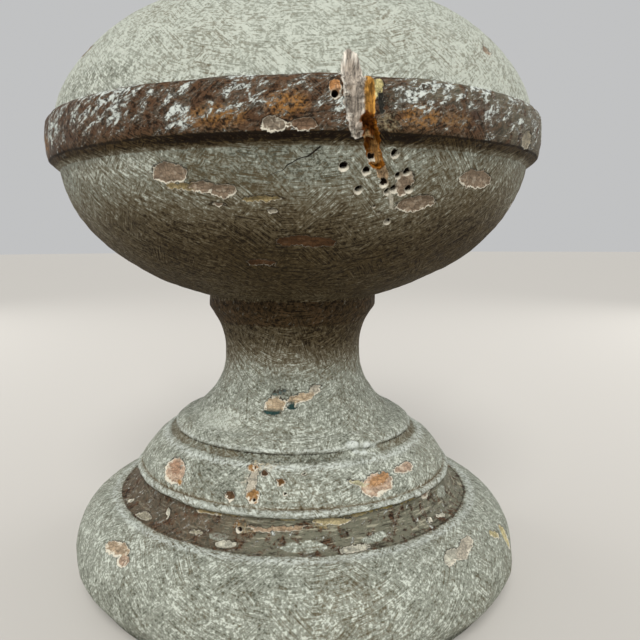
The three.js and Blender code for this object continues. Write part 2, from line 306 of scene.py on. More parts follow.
# Later layers lie over earlier ones: (groove, inset, raggedness, colour of the wood, depth)
SPLINTER_WHITE = "#cbc4b7"
WEATHERED_GREY = "#a4998b"
ORANGE_WOOD = "#bf8c42"
TAN_WOOD = "#a28a6c"
SCRATCHED_WOOD = "#aaa595"
GALLERY_BROWN = "#8a5516"
GALLERY_TAN = "#a67c48"
# The mouth is coloured darker than the gallery as painted shade, where it runs in under the paint
MOUTH_SHADED_BROWN = "#6a3a0f"
LEDGE_TAN = "#b59468"
BARE_WOOD = "#a1988d"
WOUND_MARGIN = 0.3
WOUND_WALL = 1.3
WOUND_LAYERS = (
    (BROKEN_TROUGH, 0, 1.0, SPLINTER_WHITE, 1.2),
    (BROKEN_TROUGH, 1.3, 1.6, WEATHERED_GREY, 2.4),
    (ORANGE_CHANNEL, 0, 0.4, ORANGE_WOOD, 3.0),
    (TAN_END, 0, 1.0, TAN_WOOD, 2.0),
    (SCRATCH_END, 0, 0.6, SCRATCHED_WOOD, 0.6),
    (GALLERY, 0, 0.6, GALLERY_BROWN, 3.4),
    (GALLERY_FLOOR, 0, 0.6, GALLERY_TAN, 2.8),
    (GALLERY_MOUTH, 0, 0.5, MOUTH_SHADED_BROWN, 4.2),
    (GALLERY_LEDGE, 0, 0.3, LEDGE_TAN, 3.0),
)
wound_edge = far_off
wound_colour = np.tile(linear(BARE_WOOD), (len(turn), 1))
wound_depth = none_yet
for groove, inset, raggedness, colour, depth in WOUND_LAYERS:
    edge = trail(groove) + inset + raggedness * ragged
    wound_colour[edge < WOUND_MARGIN] = linear(colour)
    wound_edge = np.minimum(wound_edge, edge)
    wound_depth = np.where(edge < 0, depth * ease(0, WOUND_WALL, -edge), wound_depth)

# Lost paint: flakes have lifted from the wood and left ovals with a pale broken rim of ground coat, made
# broadest below as painted highlight, and a painted shadow round the edge, darkest above. They go
# (degrees, height, half width, half height, tilt, colour, rim width). The hidden sides, the dome and the
# spire get a seeded scatter of plainer ones.
FLAKED_WOOD = "#8c7a66"
FLAKED_DARK = "#5a4029"
FLAKED_CREAM = "#b0a896"
FLAKED_PINK = "#b39f82"
FLAKED_YELLOW = "#94845e"
FLAKED_RUST = "#b79e86"
FLAKED_OCHRE = "#9a7448"
FLAKED_CHALK = "#b0ad9c"
FLAKED_PEACH = "#c08a58"
FLAKED_SLATE = "#2f2e28"
FLAKED_TEAL = "#2c4541"
FLAKED_PUTTY = "#9a917c"
FLAKED_STRAW = "#dccd90"
FLAKED_DUSTY = "#877a69"
FLAKED_BROWNED = "#7d6550"
FLAKED_FADED_TEAL = "#5c6862"
FLAKED_ROSY = "#ab8a70"
FLAKED_SALMON = "#b28a62"
FLAKED_PALE_OLIVE = "#b3ae8c"
FLAKED_CHIP_BROWN = "#6a4c2c"
FLAKED_CHIP_UMBER = "#5c4630"
FLAKED_PALE_ROSE = "#ab947e"
FLAKED_DULL_ROSE = "#9a8470"
FLAKED_OCHRE_LINE = "#a99861"
FLAKED_SAND = "#aa9d78"
FLAKED_DRIFTWOOD = "#9b866c"
FLAKED_LIGHT_DRIFTWOOD = "#a08c74"
FLAKED_STONE = "#96907c"
FLAKED_LIGHT_STONE = "#a09a84"
FLAKED_BISCUIT = "#a8947a"
FLAKED_ROSY_BISCUIT = "#a8907a"
FLAKED_CREAM_YELLOW = "#bfb384"
FLAKED_DULL_YELLOW = "#b5aa80"
FLAKES = (
    (-23.7, 178.9, 7.0, 3.7, -4, FLAKED_WOOD, 0.5),
    (-22.0, 174.6, 5.5, 1.3, -6, FLAKED_YELLOW, 0.1),
    (-17.2, 174.4, 4.6, 2.0, 0, FLAKED_WOOD, 0.5),
    (-12.8, 173.0, 4.6, 2.4, 2, FLAKED_WOOD, 0.5),
    (-5.9, 170.1, 7.0, 0.9, 1, FLAKED_YELLOW, 0.1),
    (-3.8, 166.3, 2.0, 0.7, 0, FLAKED_CREAM, 0.3),
    (-14.5, 168.6, 2.8, 0.7, -8, FLAKED_WOOD, 0.4),
    (39.9, 177.7, 9.4, 3.3, 0, FLAKED_WOOD, 0.45),
    (25.9, 168.8, 8.0, 3.0, 10, FLAKED_WOOD, 0.4),
    (21.8, 175.2, 3.2, 4.6, 0, FLAKED_WOOD, 0.5),
    # These two, low on the ball, are coloured darker as painted shade
    (3.4, 156.2, 10.5, 2.8, -3, FLAKED_DARK, 0.05),
    (-8.4, 148.4, 5.6, 2.2, -3, FLAKED_DARK, 0.1),
    (-2.9, 191.8, 4.2, 2.5, 0, FLAKED_DUSTY, 0.7),
    (1.9, 191.7, 4.0, 2.0, 4, FLAKED_BROWNED, 0.3),
    (53.5, 193.0, 5.0, 3.4, 0, FLAKED_PUTTY, 0.25),
    (7.0, 202.6, 1.8, 2.6, 0, FLAKED_PEACH, 0.3),
    (13.9, 203.2, 2.2, 2.9, -20, FLAKED_STRAW, 0.0),
    (14.6, 198.6, 1.0, 3.6, 8, FLAKED_SLATE, 0.0),
    (-10.5, 90.2, 3.2, 1.1, 12, FLAKED_FADED_TEAL, 0.0),
    (-13.4, 82.6, 3.6, 1.3, 0, FLAKED_TEAL, 0.0),
    (-11.4, 85.6, 5.2, 3.2, 4, FLAKED_PINK, 0.6),
    (5.6, 88.2, 6.4, 2.2, 12, FLAKED_PINK, 0.55),
    (17.0, 91.3, 2.8, 1.8, 20, FLAKED_CREAM, 0.55),
    (-0.4, 85.2, 2.4, 1.5, 0, FLAKED_TEAL, 0.0),
    (-46.5, 59.7, 7.2, 5.4, -20, FLAKED_RUST, 0.8),
    (-47.0, 60.8, 4.6, 2.6, -20, FLAKED_ROSY, 0.15),
    (-41.4, 56.6, 2.0, 1.5, 0, FLAKED_OCHRE, 0.3),
    (-13.7, 61.0, 1.9, 8.2, 3, FLAKED_CREAM, 0.3),
    (-12.6, 57.2, 2.8, 2.8, 10, FLAKED_OCHRE, 0.6),
    (-15.0, 65.6, 2.4, 1.8, 20, FLAKED_OCHRE, 0.6),
    (29.1, 58.9, 8.0, 4.6, 8, FLAKED_RUST, 0.8),
    (30.4, 60.2, 5.6, 2.2, 12, FLAKED_SALMON, 0.2),
    (22.0, 60.4, 4.4, 1.0, -24, FLAKED_PALE_OLIVE, 0.3),
    (-4.0, 62.2, 1.9, 1.7, 0, FLAKED_CHIP_BROWN, 0.6),
    (-10.0, 64.3, 1.6, 1.4, 0, FLAKED_CHIP_UMBER, 0.6),
    (-20.2, 56.2, 2.0, 1.8, 0, FLAKED_CHIP_UMBER, 0.6),
    (43.6, 61.4, 6.6, 2.3, 0, FLAKED_PALE_ROSE, 0.7),
    (51.0, 49.3, 4.4, 1.9, 12, FLAKED_DULL_ROSE, 0.7),
    (31.0, 50.0, 21.0, 1.3, 0, FLAKED_OCHRE_LINE, 0.05),
    (12.0, 48.2, 8.0, 1.5, -6, FLAKED_SAND, 0.2),
    (-27.0, 48.9, 6.0, 1.0, 3, FLAKED_YELLOW, 0.2),
    (-2.0, 46.2, 7.0, 1.1, 3, FLAKED_DRIFTWOOD, 0.2),
    (-10.0, 45.4, 5.0, 0.8, -6, FLAKED_LIGHT_DRIFTWOOD, 0.2),
    (52.4, 40.3, 3.0, 1.0, -20, FLAKED_CHALK, 0.5),
    (46.4, 40.6, 2.4, 1.2, 30, FLAKED_CHALK, 0.5),
    (-52.4, 39.9, 5.0, 2.0, 8, FLAKED_STONE, 0.4),
    (-44.0, 43.6, 1.0, 2.6, 30, FLAKED_CHALK, 0.3),
    (-30.0, 41.4, 3.0, 1.0, 10, FLAKED_LIGHT_STONE, 0.3),
    (-66.0, 40.0, 1.8, 1.6, 0, FLAKED_CHALK, 0.6),
    (-19.0, 40.2, 4.5, 1.6, 10, FLAKED_CHALK, 0.4),
    (17.0, 39.6, 6.0, 1.8, 4, FLAKED_CHALK, 0.4),
    (-47.4, 33.4, 8.0, 3.2, 10, FLAKED_BISCUIT, 0.9),
    (-43.0, 31.6, 3.6, 2.4, 0, FLAKED_ROSY_BISCUIT, 0.9),
    (46.0, 34.6, 8.0, 2.6, 14, FLAKED_CREAM, 0.5),
    (40.0, 34.4, 5.0, 2.6, 20, FLAKED_CHALK, 0.5),
    (67.2, 26.4, 3.4, 6.0, 4, FLAKED_CREAM_YELLOW, 0.5),
    (61.0, 31.4, 4.2, 1.8, -30, FLAKED_DULL_YELLOW, 0.4),
    (-91.6, 36.9, 3.0, 1.6, 10, FLAKED_CREAM, 0.6),
    (-87.0, 34.1, 2.2, 1.4, 0, FLAKED_CREAM, 0.6),
)
FLAKE_DEPTH = 0.55
SCATTER_SEED = 7
SCATTER_HALF_WIDTH = (3, 8)
SCATTER_HALF_HEIGHT = (1.5, 3.5)
SCATTER_TILT = (-12, 12)
SCATTER_RIM = 0.5
HIDDEN = (70, 290)
# Scatter goes (lowest, highest, first degree, last degree, count)
SCATTER = (
    (16, 36, *HIDDEN, 8),
    (55, 66, *HIDDEN, 7),
    (78, 95, *HIDDEN, 3),
    (150, 184, *HIDDEN, 13),
    (191, 203, *HIDDEN, 5),
    (222, 258, 30, 340, 11),
    (305, 520, 0, 360, 12),
)


def oval(turn_at, height_at, half_width, half_height, tilt=0):
    """Signed distance to a tilted ellipse, its level times (level - 1) over the level's slope,
    and how far up the ellipse each vertex lies, in half heights."""
    across, up = offsets(turn_at, height_at)
    lean = math.radians(tilt)
    x = across * math.cos(lean) + up * math.sin(lean)
    y = up * math.cos(lean) - across * math.sin(lean)
    level = np.hypot(x / half_width, y / half_height)
    slope = np.hypot(x / half_width ** 2, y / half_height ** 2) + TINY
    return level * (level - 1) / slope, y / half_height


draw = np.random.default_rng(SCATTER_SEED)
scattered = [
    (draw.uniform(first, last), draw.uniform(lowest, highest), draw.uniform(*SCATTER_HALF_WIDTH),
     draw.uniform(*SCATTER_HALF_HEIGHT), draw.uniform(*SCATTER_TILT), FLAKED_WOOD, SCATTER_RIM)
    for lowest, highest, first, last, count in SCATTER
    for _ in range(count)
]
loss_edge = far_off
loss_low = none_yet
loss_colour = np.tile(linear(FLAKED_WOOD), (len(turn), 1))
for *spot, colour, rim in FLAKES + tuple(scattered):
    edge, above = oval(*spot)
    nearer = (edge < loss_edge) | (edge < 0)
    loss_edge = np.where(nearer, edge, loss_edge)
    loss_low = np.where(nearer, -above, loss_low)
    loss_colour[nearer] = linear(colour)[:3] + [rim]

# A hairline crack crosses the upper ball, where the paint has split over the wood.
# Its side is signed, so it stays thin between vertices. Its ends go (degrees, height).
CRACK_FROM = (5.2, 185.8)
CRACK_TO = (-4.6, 176.6)
CRACK_WAVER = 0.25
CRACK_WAVER_LENGTH = 4.0
from_across, from_up = offsets(*CRACK_FROM)
to_across, to_up = offsets(*CRACK_TO)
crack_run, crack_climb = from_across - to_across, from_up - to_up
crack_length = np.hypot(crack_run, crack_climb) + TINY
crack_share = (from_across * crack_run + from_up * crack_climb) / crack_length ** 2
crack_side = (from_across * crack_climb - from_up * crack_run) / crack_length
crack_side += CRACK_WAVER * ripple(CRACK_WAVER_LENGTH, seed=31)

# Old filler: a white paste was pressed into the quirk at the right of the front and dried in lumps.
# Its ends go (degrees where it starts to fade, degrees where it is full), and the lumps go
# (degrees, height, half width, half height, rise).
FILLED_LEFT = (19, 24)
FILLED_RIGHT = (43, 38)
LUMP_RAGGEDNESS = 0.35
LUMP_SLOPE = (0.2, -1.4)
LUMPS = (
    (26.2, 71.6, 3.4, 2.1, 1.7),
    (33.4, 70.4, 2.4, 1.9, 1.1),
    (31.0, 67.8, 2.2, 1.4, 0.8),
    (37.5, 69.6, 1.8, 1.5, 0.8),
    (27.5, 68.6, 2.0, 1.2, 0.7),
    (35.0, 67.2, 1.6, 1.0, 0.6),
)
filled = ease(*FILLED_LEFT, turn) * ease(*FILLED_RIGHT, turn)
lump_edge = far_off
lump_rise = none_yet
for *spot, rise in LUMPS:
    edge = oval(*spot)[0] + LUMP_RAGGEDNESS * ragged
    lump_edge = np.minimum(lump_edge, edge)
    lump_rise = np.maximum(lump_rise, rise * ease(*LUMP_SLOPE, edge))

# Painted zones: oxide brown was brushed on the band, the cove above the foot, the collars and rings,
# and the chalky grey over it is left in chips. Rust and older coats show through in soft stains.
# Zones go (bottom, top, share of chalk left, how ragged the edge is).
BROWN_ZONES = (
    (BAND_UNDERSIDE[1] + 1.6, BAND_SHOULDER[1] - 0.2, 1.0, 0.25),
    (FOOT_TOP[1] + 0.02, COVE_TOP[1] + 0.3, 0.3, 0.5),
    (COLLAR_SWEEP[1] - 6.0, bowl_foot[1] - 1.0, 0.3, 1.0),
    (UPPER_COLLAR[1] - 7.0, STEM_BOTTOM[1] + 8.0, 0.5, 1.0),
    (RING_BOTTOM[1], RING_TOP[1], 0.8, 0.8),
    (TIP_RING_BOTTOM[1], TIP_RING_TOP[1], 0.8, 0.8),
)
# Grey still covers the brown in these ovals: (degrees, height, half width, half height, tilt)
GREY_LEFT = (
    (3, 40.6, 9, 2.2, 3),
    (24, 41, 6, 1.8, 5),
    (-22, 41.5, 4, 1.4, 0),
    (62, 45, 5, 2.5, 0),
)
# On the band the chips thin out downwards and gather in clusters
FROM_BAND_UP = (186, 188)
CHIPS_THIN_OUT = (199, 192)
CHIPS_THINNED = 0.55
CHIP_CLUSTER_WIDTH = 20.0
CHIP_CLUSTERING = 0.3
# Olive paint lies in the cove, least at the left, and at the band's right end: turns and heights go
# (where it starts, where it is full)
COVE_OLIVE_TURN = (-30, -5)
COVE_OLIVE_LEAST = 0.35
BAND_OLIVE = 0.55
BAND_OLIVE_TURN = (34, 48)
BAND_OLIVE_END = (120, 90)
BAND_TOP_OLIVE_TURN = (14, 22)
BAND_TOP_OLIVE_HEIGHT = (199, 203)
brown_edge = far_off
chalk = none_yet
for bottom, top, left, raggedness in BROWN_ZONES:
    middle = (along_at(bottom) + along_at(top)) / 2
    reach = (along_at(top) - along_at(bottom)) / 2
    zone = np.abs(along - middle) - reach
    chalk = np.where(zone < 1, left, chalk)
    brown_edge = np.minimum(brown_edge, zone / raggedness)
for spot in GREY_LEFT:
    brown_edge = np.maximum(brown_edge, -oval(*spot)[0])
from_band_up = ease(*FROM_BAND_UP, height)
chalk *= 1 - CHIPS_THINNED * ease(*CHIPS_THIN_OUT, height) * from_band_up
chalk *= 1 + CHIP_CLUSTERING * ripple(CHIP_CLUSTER_WIDTH, seed=72) * from_band_up
olive = ease(COVE_TOP[1] + 1, COVE_TOP[1], height) * ease(FOOT_TOP[1] - 2, FOOT_TOP[1], height)
olive *= COVE_OLIVE_LEAST + (1 - COVE_OLIVE_LEAST) * ease(*COVE_OLIVE_TURN, turn)
on_band = ease(BAND_UNDERSIDE[1] + 1, BAND_BOTTOM[1], height)
on_band *= ease(BAND_SHOULDER[1] + 1, BAND_SHOULDER[1], height)
band_top_olive = ease(*BAND_TOP_OLIVE_TURN, turn) * ease(*BAND_TOP_OLIVE_HEIGHT, height)
band_olive = np.maximum(ease(*BAND_OLIVE_TURN, turn), band_top_olive) * ease(*BAND_OLIVE_END, turn)
olive = np.maximum(olive, BAND_OLIVE * on_band * band_olive)

# Stains go (degrees, height, half width, half height, colour, share)
RUST = "#9a6f3c"
BRIGHT_RUST = "#a0713a"
DULL_RUST = "#8c6a42"
HIDDEN_RUST = "#94693a"
SLATE_COAT = "#3a3b32"
GREEN_SLATE = "#4c5044"
TAN_COAT = "#8d8266"
ROSE_COAT = "#8c7258"
YELLOW_COAT = "#b3a26c"
OCHRE_COAT = "#b8935c"
PALE_OCHRE = "#bf9f68"
OLD_WHITE = "#b9ae98"
PLUM_BROWN = "#4a3c34"
RED_BROWN = "#583c28"
CHESTNUT = "#5e4430"
DARK_CHESTNUT = "#4a3828"
COVE_UMBER = "#44342a"
STAINS = (
    (-13, 195, 12, 3.4, RUST, 0.8),
    (-0.8, 198, 7, 4, BRIGHT_RUST, 0.85),
    (22, 195.4, 8, 4, RUST, 0.8),
    (29, 195, 7, 2.8, DULL_RUST, 0.7),
    (17.4, 199.8, 5.5, 3.4, SLATE_COAT, 1.0),
    (16, 192.6, 3.4, 2.6, TAN_COAT, 1.0),
    (36, 199, 9, 4.4, PLUM_BROWN, 0.9),
    (100, 196, 9, 4, HIDDEN_RUST, 0.8),
    (150, 195, 8, 3.5, HIDDEN_RUST, 0.8),
    (205, 196, 9, 4, HIDDEN_RUST, 0.8),
    (250, 195, 8, 4, HIDDEN_RUST, 0.8),
    (295, 196, 8, 3.5, HIDDEN_RUST, 0.8),
    (-35, 46.8, 10, 2.6, RED_BROWN, 0.9),
    (-14.2, 45.8, 4, 1.8, OCHRE_COAT, 0.8),
    (-6.3, 46, 7, 2.6, ROSE_COAT, 0.85),
    (12.4, 43.4, 8, 2.6, GREEN_SLATE, 0.9),
    (11.5, 47.4, 6, 1.8, YELLOW_COAT, 0.9),
    (24, 48, 13, 1.7, CHESTNUT, 0.9),
    (-11.6, 66.2, 5, 1.8, PALE_OCHRE, 0.8),
    (-14.6, 61.5, 2.6, 5, OLD_WHITE, 0.6),
    (-50, 44, 10, 4, COVE_UMBER, 0.9),
    (-24, 42.4, 9, 2.4, DARK_CHESTNUT, 0.9),
)
stain_edge = far_off
stain_colour = np.zeros((len(turn), 4))
for *spot, colour, share in STAINS:
    edge = oval(*spot)[0]
    nearer = edge < stain_edge
    stain_edge = np.where(nearer, edge, stain_edge)
    stain_colour[nearer] = linear(colour)[:3] + [share]

# Worn edges: handling has rubbed the standing edges pale, and their lit crests are painted pale as
# highlight too, in rings that go (height, reach, share)
WORN_AND_LIT_EDGES = (
    (BAND_SHOULDER[1] + 0.9, 0.8, 1.0),
    (SHOULDER_TOP[1] - 1.0, 1.5, 1.0),
    (BEAD_TOP[1] - 1.4, 1.5, 0.75),
    (FOOT_TOP[1] - 0.2, 1.3, 1.0),
    (LIP[1] + 0.7, 0.8, 0.6),
    (RING_TOP[1] - 5.0, 3.0, 0.8),
)


def ring(height_at, shift, reach):
    """A soft ring round the turning: exp of minus the square of a gap over its reach.

    The gap is the length along the profile from a height and a shift, in millimetres."""
    return np.exp(-((along - along_at(height_at) - shift) / reach) ** 2)


worn = none_yet
for height_at, reach, share in WORN_AND_LIT_EDGES:
    worn = np.maximum(worn, share * ring(height_at, 0, reach))

# The grey coat is paler on the dome, darker on the ball, darkened in the quirk under the lip as painted
# shade, and paler or darker in soft ovals: (degrees, height, half width, half height, amount)
DOME_PALENESS = 0.95
BALL_DARKNESS = 0.5
BALL_DARK_FROM = (110, 130)
QUIRK_SHADE = 1.0
TONE_FADE = 4
TONES = (
    (-46, 77, 14, 6, 1.0),
    (-2, 104, 12, 6, 0.3),
    (0, 62, 60, 8, 0.2),
    (-27, 61, 12, 7, -0.9),
    (-54, 33, 30, 12, 0.35),
    (0, 34, 30, 6, -0.4),
    (-8, 89.5, 6, 2.5, -1.2),
    # The next oval lightens the ball at the left under the band as painted light
    (-38, 182, 30, 5, 0.9),
    (-10, 180, 30, 8, -0.7),
    (38, 212, 20, 6, 0.3),
    (-46, 213, 30, 5, -0.6),
)
past_crest = ease(-0.2, 0.8, along - along_at(SHOULDER_TOP[1]))
below_lip = ease(0.2, -0.2, along - along_at(LIP[1]))
in_hollow = past_crest * below_lip * (1 - filled)
pale = DOME_PALENESS * ease(BAND_SHOULDER[1] - 1, BAND_SHOULDER[1] + 1, height)
below_band = ease(BAND_UNDERSIDE[1] + 1, BAND_UNDERSIDE[1] - 1, height)
pale -= BALL_DARKNESS * below_band * ease(*BALL_DARK_FROM, height)
for *spot, amount in TONES:
    pale += amount * ease(TONE_FADE, -TONE_FADE, oval(*spot)[0])
pale -= QUIRK_SHADE * in_hollow

# Grime and painted shade: age and handling left umber under the ball, deepened there as painted shade,
# while the black under the band is painted shadow and the brown in the hollows and corners is painted
# shade. Shares are 1 where it covers the coat and more where it is thick. Turns, heights and lengths go
# (where it starts, where it is full).
NECK_STAIN_AND_SHADE = (88, 119)
BALL_STAIN_AND_SHADE = (184, 149)
BALL_STAIN_AND_SHADE_LEAST = 0.2
BOWL_FOOT_CLEARER = (137, 131)
BOWL_FOOT_CLEARED = 0.2
RIGHT_SIDE = (12, 55)
RIGHT_END = (150, 130)
RIGHT_SIDE_GRIME = 0.15
UNDER_BAND_SHADE = 0.5
UNDER_BAND_SHADOW_BLACK = 1.15
BLACK_FROM_BOWL = (0.6, 2.8)
LESS_BLACK_RIGHT = (12, 40)
LOST_BLACK_RIGHT = 0.5
LESS_BLACK_LEFT = (-14, -40)
LOST_BLACK_LEFT = 0.6
BAND_LOW = (195.5, 190.5)
BAND_LOW_GRIME = 0.55
OVER_BAND_SHADE = 0.7
AWAY_FROM_FRONT = (8, 32)
QUIRK_SHADE_AT_SIDES = 0.3
LIP_SHADE = 0.6
LIP_SHADE_AT_SIDES = 0.5
COVE_FOOT_SHADE = 0.8
COVE_FOOT_SHADE_AT_SIDES = 0.6
GROOVE_SHADE = 0.6
GROOVE_SHADE_REACH = 0.6
THIN_RING = 0.4
# Under the ball and down the neck: umber stain, deepened as painted shade where the ball overhangs
on_ball = ease(BAND_UNDERSIDE[1] + 0.5, BAND_UNDERSIDE[1] - 1, height) * ease(*NECK_STAIN_AND_SHADE, height)
under_ball_stain_and_shade = on_ball * (BALL_STAIN_AND_SHADE_LEAST + (1 - BALL_STAIN_AND_SHADE_LEAST) * ease(*BALL_STAIN_AND_SHADE, height))
under_ball_stain_and_shade *= 1 - BOWL_FOOT_CLEARED * ease(*BOWL_FOOT_CLEARER, height)
ball_sides = on_ball * RIGHT_SIDE_GRIME * ease(*RIGHT_SIDE, turn) * ease(*RIGHT_END, turn)
# The band's underside: painted shade, deepened to near-black painted shadow just under its edge
below_edge = along_at(BAND_BOTTOM[1]) - along
above_bowl = along - along_at(BAND_UNDERSIDE[1])
shadow_blackened = UNDER_BAND_SHADOW_BLACK * ease(*BLACK_FROM_BOWL, above_bowl)
shadow_blackened *= 1 - LOST_BLACK_RIGHT * ease(*LESS_BLACK_RIGHT, turn) * ease(*RIGHT_END, turn)
shadow_blackened *= 1 - LOST_BLACK_LEFT * ease(*LESS_BLACK_LEFT, turn)
under_band_shade = (UNDER_BAND_SHADE + shadow_blackened) * ease(-0.1, 0.4, below_edge) * ease(-0.8, 0.2, above_bowl)
band_low = BAND_LOW_GRIME * ease(*BAND_LOW, height)
band_low *= ease(BAND_UNDERSIDE[1] - 0.5, BAND_UNDERSIDE[1], height)
# A thin line of painted shade where the band's top meets the dome
over_band_shade = OVER_BAND_SHADE * ring(BAND_SHOULDER[1], -0.9, THIN_RING)
to_sides = ease(*AWAY_FROM_FRONT, np.abs(turn))
# Painted shade in the quirk at the sides, and a thin line of it under the lip where it is not filled
quirk_shade = QUIRK_SHADE_AT_SIDES * to_sides * in_hollow
under_lip_shade = (1 - filled) * (LIP_SHADE + LIP_SHADE_AT_SIDES * to_sides)
under_lip_shade *= ring(QUIRK[1] + 0.4, 0, THIN_RING)
# Painted shade along the foot of the cove
cove_foot_shade = (COVE_FOOT_SHADE + COVE_FOOT_SHADE_AT_SIDES * to_sides) * ring(FOOT_TOP[1], 0.6, THIN_RING)
# Painted shade in the groove over the bead
groove_shade = GROOVE_SHADE * ring(SHOULDER_BOTTOM[1], 0, GROOVE_SHADE_REACH)
grime_and_shade = np.clip(under_ball_stain_and_shade + ball_sides, 0, 1)
for share in (under_band_shade, band_low, over_band_shade, quirk_shade, under_lip_shade, groove_shade, cove_foot_shade):
    grime_and_shade = np.maximum(grime_and_shade, share)

# A thin dark line of painted shadow runs in each corner, and the ground coat shows in a broken line
# where the grey paint ends under the bead. Lines go (shift from the corner, half width) in millimetres.
UNDER_BAND_LINE = (0.7, 0.45)
QUIRK_LINE = (0.1, 0.3)
COVE_LINE = (0.7, 0.35)
COVE_LINE_FADES = (14, 4)
CREAM_LINE = (0.2, 0.3)
CREAM_BREAK_LENGTH = 14.0
CREAM_BREAKS = 0.35
NO_LINE = 5


def thin_line(length, shift, half_width):
    """How far a length lies outside a line: the size of (length - shift), less the half width."""
    return np.abs(length - shift) - half_width


under_band_line = thin_line(below_edge, *UNDER_BAND_LINE)
quirk_line = thin_line(along - along_at(QUIRK[1]), *QUIRK_LINE) + NO_LINE * filled
cove_line = thin_line(along - along_at(FOOT_TOP[1]), *COVE_LINE) + 2 * ease(*COVE_LINE_FADES, turn)
shadow_line_gap = np.minimum.reduce([under_band_line, quirk_line, cove_line])
cream_gap = thin_line(along - along_at(COVE_TOP[1]), *CREAM_LINE)
cream_gap += CREAM_BREAKS * ripple(CREAM_BREAK_LENGTH, seed=61)

# Brush strokes either climb away from the front in long bows, or wind up to the left or the right, and
# the chips on the band wind up to the right. Each set of places is in stroke lengths and widths, so
# the noise drawn from it has unit cells.
STROKE_LENGTH = 7.0
STROKE_WIDTH = 0.45
STROKE_CLIMB = 1.15
CHIP_WIDTH = 3.2
CHIP_LENGTH = 3.4
WIND_RADIUS = 80.0
WIND_STEEPNESS = math.radians(52)
bow = STROKE_CLIMB * radius * (1 - np.cos(angle))
wind = along / (WIND_RADIUS * math.tan(WIND_STEEPNESS))


def wound(winding, width, length):
    """Places round a cylinder of WIND_RADIUS, turned back by the winding, in widths and lengths."""
    round_at = angle - winding
    widths = WIND_RADIUS / width
    return np.stack([widths * np.sin(round_at), -widths * np.cos(round_at), along / length], 1)


STROKES = {
    "bowed_strokes": np.column_stack([skin[:, :2] / STROKE_LENGTH, (along - bow) / STROKE_WIDTH]),
    "left_strokes": wound(-wind, STROKE_WIDTH, STROKE_LENGTH),
    "right_strokes": wound(wind, STROKE_WIDTH, STROKE_LENGTH),
}
CHIPS = {"slanted_chips": wound(wind, CHIP_WIDTH, CHIP_LENGTH)}

# The skin: the turned form with its hand-worn waves, the lost paint, the lumps, the groove that the
# lathe left over the bead, and the eaten wood with its fibres standing along the grain.
SKIN_WAVE_LENGTH = 26.0
SKIN_WAVE_HEIGHT = 0.16
SKIN_RIPPLE_LENGTH = 6.0
SKIN_RIPPLE_HEIGHT = 0.06
WAVES_FULL_RADIUS = 30
WAVES_FROM_FLOOR = (0, 6)
FLAKE_WALL = (0.1, -0.7)
GROOVE_DEPTH = 0.8
GROOVE_REACH = 0.7
FIBRE_WIDTH = 1.5
FIBRE_SQUEEZE = 0.08
FIBRE_HEIGHT = 0.13
EATEN_SHARE = 0.85
fibre = ripple(FIBRE_WIDTH, seed=53, squeeze=FIBRE_SQUEEZE)
relief = SKIN_WAVE_HEIGHT * ripple(SKIN_WAVE_LENGTH, seed=51)
relief += SKIN_RIPPLE_HEIGHT * ripple(SKIN_RIPPLE_LENGTH, seed=52)
relief *= np.clip(radius / WAVES_FULL_RADIUS, 0, 1) * ease(*WAVES_FROM_FLOOR, height)
relief += lump_rise - FLAKE_DEPTH * ease(*FLAKE_WALL, loss_edge)
relief -= GROOVE_DEPTH * ring(SHOULDER_BOTTOM[1], 0, GROOVE_REACH)
relief -= np.maximum(wound_depth * (EATEN_SHARE + FIBRE_HEIGHT * fibre), hole_relief)
skin = (skin + outward * relief[:, None]) * MM

rings = len(profile) - 2
ring_start = np.arange(rings)[:, None] * len(columns)
here = np.arange(len(columns))[None, :]
beside = np.roll(here, -1, axis=1)
lower, upper = ring_start[:-1], ring_start[1:]
quads = np.stack([lower + here, lower + beside, upper + beside, upper + here], 2).reshape(-1, 4)
foot_point = rings * len(columns)
tip_point = foot_point + 1
last_ring = ring_start[-1]
foot_fan = np.stack([beside[0], here[0], np.full(len(columns), foot_point)], 1)
tip_fan = np.stack([last_ring + here[0], last_ring + beside[0], np.full(len(columns), tip_point)], 1)

mesh = bpy.data.meshes.new("worn_spire")
mesh.from_pydata(skin, [], quads.tolist() + foot_fan.tolist() + tip_fan.tolist())
mesh.polygons.foreach_set("use_smooth", np.ones(len(mesh.polygons), dtype=bool))
FIELDS = {
    "brown_edge": brown_edge, "chalk": chalk, "olive": olive, "pale": pale, "grime_and_shade": grime_and_shade, "worn": worn,
    "stain_edge": stain_edge, "shadow_line_gap": shadow_line_gap, "cream_gap": cream_gap,
    "loss_edge": loss_edge, "loss_low": loss_low, "wound_edge": wound_edge,
    "hole_level": hole_level, "hole_below": hole_below, "crack_side": crack_side,
    "crack_share": crack_share, "lump_edge": lump_edge,
}
for name, values in FIELDS.items():
    mesh.attributes.new(name, "FLOAT", "POINT").data.foreach_set("value", values.astype(np.float32))
for name, values in (STROKES | CHIPS).items():
    layer = mesh.attributes.new(name, "FLOAT_VECTOR", "POINT")
    layer.data.foreach_set("vector", values.astype(np.float32).ravel())
COLOURS = {"loss_colour": loss_colour, "wound_colour": wound_colour, "stain_colour": stain_colour}
for name, values in COLOURS.items():
    layer = mesh.attributes.new(name, "FLOAT_COLOR", "POINT")
    layer.data.foreach_set("color", values.astype(np.float32).ravel())
mesh.update()

spire = bpy.data.objects.new("worn_spire", mesh)
bpy.context.scene.collection.objects.link(spire)
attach(spire, "root")
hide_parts("turned_spire")

